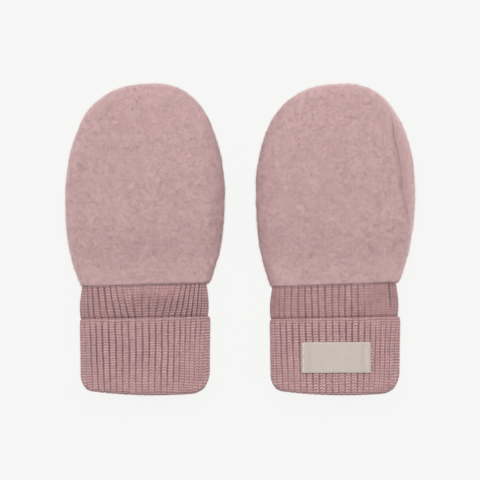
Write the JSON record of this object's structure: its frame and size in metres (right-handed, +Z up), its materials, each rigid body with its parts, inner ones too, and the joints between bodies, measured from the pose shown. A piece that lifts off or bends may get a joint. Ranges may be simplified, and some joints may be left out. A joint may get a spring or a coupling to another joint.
{
  "type": "pair of thumbless baby mittens",
  "caption": "Thumbless baby mittens of soft fleece with turned-up rib knit cuffs, lying flat side by side; they keep a baby's hands warm.",
  "frame": {"origin": "centre of the pair's outline, on the surface that it lies on", "axes": "+X from the left mitten to the right one, as seen from above; +Y from the cuffs to the fingertips; +Z up, off the surface"},
  "size_m": [0.1692, 0.15, 0.0173],
  "materials": {
    "fleece": "brushed wool fleece with a short, clumped pile, dusty rose",
    "rib": "rib knit of fine wool yarn, a darker dusty rose",
    "woven_label": "plain woven satin ribbon, pale beige"
  },
  "bodies": {
    "root": {"left_front": "fleece", "left_back": "fleece", "left_cuff": "rib", "right_front": "fleece", "right_back": "fleece", "right_cuff": "rib", "right_label": "woven_label"}
  },
  "joints": []
}
